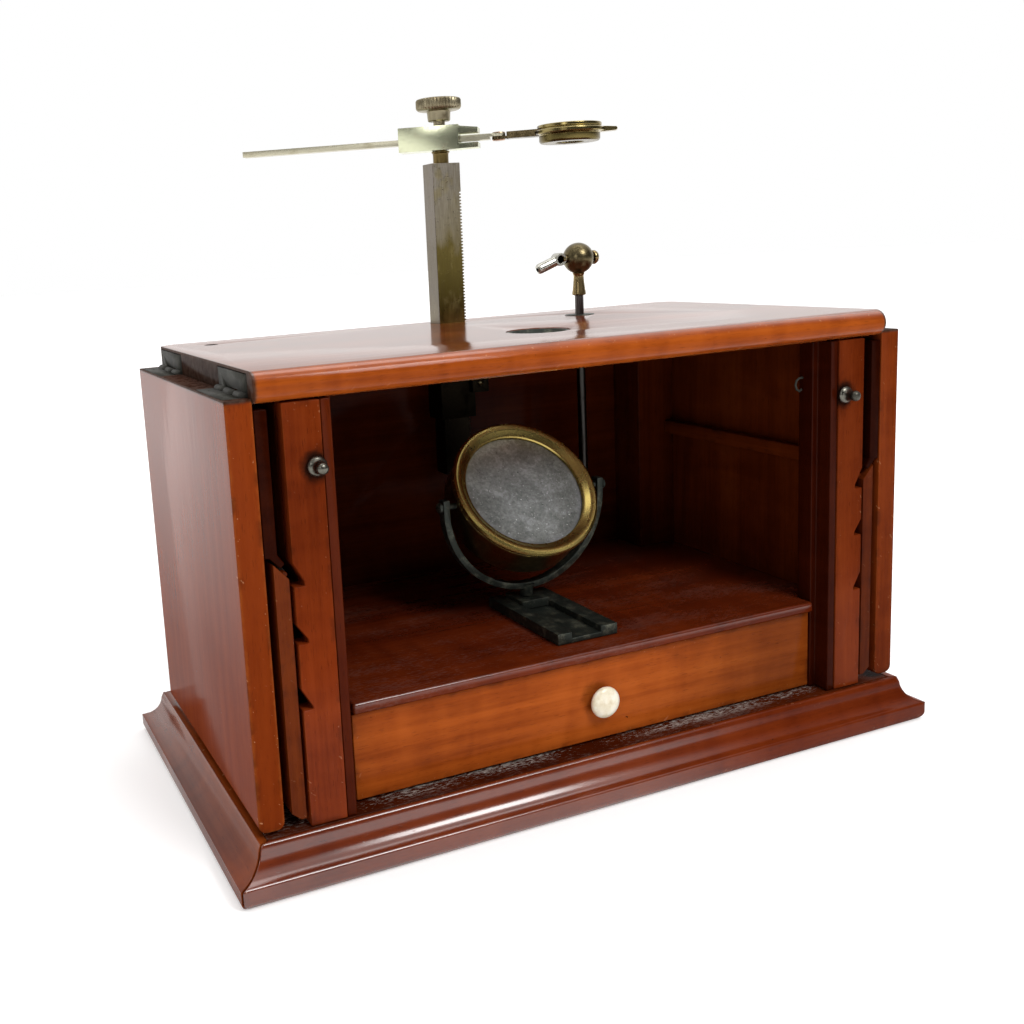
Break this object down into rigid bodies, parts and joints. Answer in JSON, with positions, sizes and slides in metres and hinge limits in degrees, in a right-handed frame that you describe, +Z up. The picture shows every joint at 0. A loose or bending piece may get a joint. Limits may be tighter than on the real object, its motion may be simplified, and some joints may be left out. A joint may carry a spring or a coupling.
{
  "type": "dissecting_microscope",
  "caption": "Victorian mahogany-cased dissecting microscope with hinged arm rests, a drawer, a rack-and-pinion lens pillar, a ball-jointed pin holder and a tilting mirror.",
  "frame": {"origin": "Centre of the base's underside, on the surface it rests on", "axes": "X right along the case's width (the drawer opens towards -Y), Y to the back, Z up"},
  "size_m": [0.3448, 0.218, 0.3131],
  "materials": {
    "mahogany": "French-polished reddish mahogany, worn at the edges",
    "pale_mahogany": "unpolished mahogany of the drawer's inside",
    "brass": "aged lacquered brass, tarnished",
    "black_brass": "chemically blackened brass, rubbed",
    "dull_brass": "dull grey-green unpolished brass",
    "steel": "oxidised steel",
    "ivory": "polished bone or ivory, slightly yellowed",
    "mirror_glass": "old silvered glass with decayed silvering",
    "lens_glass": "clear polished glass"
  },
  "bodies": {
    "case": {"base_board": "mahogany", "plinth_front": "mahogany", "plinth_back": "mahogany", "plinth_left": "mahogany", "plinth_right": "mahogany", "post_left": "mahogany", "post_right": "mahogany", "side_panel_left": "mahogany", "side_panel_right": "mahogany", "back_panel": "mahogany", "back_post_left": "mahogany", "back_post_right": "mahogany", "side_rail_left": "mahogany", "side_rail_right": "mahogany", "shelf": "mahogany", "jamb_left": "mahogany", "jamb_right": "mahogany", "top_board": "mahogany", "pillar_sleeve": "brass", "pinion_bush": "brass", "post_stud_left": "brass", "post_stud_right": "brass", "stage_ring": "black_brass", "pin_bush": "black_brass", "mirror_track": "black_brass", "top_leaf_left_front": "dull_brass", "top_leaf_left_back": "dull_brass", "top_leaf_right_front": "dull_brass", "top_leaf_right_back": "dull_brass"},
    "drawer": {"drawer_front": "mahogany", "drawer_side_left": "pale_mahogany", "drawer_side_right": "pale_mahogany", "drawer_back": "pale_mahogany", "drawer_bottom": "pale_mahogany", "drawer_knob": "ivory"},
    "flap_left_body": {"flap_left": "mahogany", "batten_left": "mahogany", "flap_leaf_left_front": "dull_brass", "flap_leaf_left_back": "dull_brass"},
    "flap_right_body": {"flap_right": "mahogany", "batten_right": "mahogany", "flap_leaf_right_front": "dull_brass", "flap_leaf_right_back": "dull_brass"},
    "strut_left_body": {"strut_left": "mahogany"},
    "strut_right_body": {"strut_right": "mahogany"},
    "pillar_body": {"pillar": "brass"},
    "pinion_body": {"pinion": "brass"},
    "arm_head": {"clamp_block": "brass"},
    "arm": {"arm_bar": "brass"},
    "lens_body": {"lens_carrier": "brass", "lens": "lens_glass"},
    "screw_body": {"clamp_screw": "brass"},
    "pin_body": {"pin_rod": "steel"},
    "ball_body": {"pin_ball": "brass"},
    "holder_body": {"tool_holder": "brass"},
    "slider_body": {"mirror_slider": "black_brass"},
    "fork_body": {"mirror_fork": "black_brass"},
    "mirror_body": {"mirror_cell": "brass", "mirror_glass": "mirror_glass"}
  },
  "joints": [
    {"name": "drawer_slide", "type": "slide", "parent": "case", "child": "drawer", "axis": [0, -1, 0], "range_m": [0, 0.1]},
    {"name": "flap_left_hinge", "type": "hinge", "parent": "case", "child": "flap_left_body", "pos_m": [-0.1506, 0, 0.19], "axis": [0, 1, 0], "range_deg": [0, 90]},
    {"name": "flap_right_hinge", "type": "hinge", "parent": "case", "child": "flap_right_body", "pos_m": [0.1506, 0, 0.19], "axis": [0, -1, 0], "range_deg": [0, 90]},
    {"name": "strut_left_hinge", "type": "hinge", "parent": "flap_left_body", "child": "strut_left_body", "pos_m": [-0.142, 0, 0.1232], "axis": [0, -1, 0], "range_deg": [0, 141]},
    {"name": "strut_right_hinge", "type": "hinge", "parent": "flap_right_body", "child": "strut_right_body", "pos_m": [0.142, 0, 0.1232], "axis": [0, 1, 0], "range_deg": [0, 141]},
    {"name": "pillar_lift", "type": "slide", "parent": "case", "child": "pillar_body", "axis": [0, 0, 1], "range_m": [-0.03, 0.03]},
    {"name": "pinion_spin", "type": "hinge", "parent": "case", "child": "pinion_body", "pos_m": [0.01275, 0.063, 0.168], "axis": [0, 1, 0], "range_deg": [-432, 432]},
    {"name": "head_swivel", "type": "hinge", "parent": "pillar_body", "child": "arm_head", "pos_m": [0.001, 0.063, 0.2926], "axis": [0, 0, 1], "range_deg": [-150, 150]},
    {"name": "arm_slide", "type": "slide", "parent": "arm_head", "child": "arm", "axis": [0.829, -0.5592, 0], "range_m": [-0.004, 0.06]},
    {"name": "lens_joint", "type": "hinge", "parent": "arm", "child": "lens_body", "pos_m": [0.02587, 0.04622, 0.2926], "axis": [0, 0, 1], "range_deg": [-70, 70]},
    {"name": "clamp_screw_turn", "type": "hinge", "parent": "arm_head", "child": "screw_body", "pos_m": [0.001, 0.063, 0.2995], "axis": [0, 0, 1], "range_deg": [-180, 180]},
    {"name": "pin_slide", "type": "slide", "parent": "case", "child": "pin_body", "axis": [0, 0, 1], "range_m": [-0.009, 0.015]},
    {"name": "pin_swivel", "type": "hinge", "parent": "pin_body", "child": "ball_body", "pos_m": [0.0653, 0.0374, 0.2293], "axis": [0, 0, 1], "range_deg": [-170, 170]},
    {"name": "holder_turn", "type": "hinge", "parent": "ball_body", "child": "holder_body", "pos_m": [0.0653, 0.0374, 0.2293], "axis": [1, 0, 0], "range_deg": [-120, 120]},
    {"name": "mirror_slide", "type": "slide", "parent": "case", "child": "slider_body", "axis": [0, -1, 0], "range_m": [-0.003, 0.04]},
    {"name": "fork_swivel", "type": "hinge", "parent": "slider_body", "child": "fork_body", "pos_m": [-0.0005, -0.012, 0.072], "axis": [0, 0, 1], "range_deg": [-90, 90]},
    {"name": "mirror_tilt", "type": "hinge", "parent": "fork_body", "child": "mirror_body", "pos_m": [-0.0005, -0.012, 0.1208], "axis": [1, 0, 0], "range_deg": [-130, 130]}
  ],
  "couplings": [
    {"joint": "strut_left_hinge", "follows": "flap_left_hinge", "ratio": 1.566},
    {"joint": "strut_right_hinge", "follows": "flap_right_hinge", "ratio": 1.566},
    {"joint": "pinion_spin", "follows": "pillar_lift", "rad_per_m": 250}
  ]
}
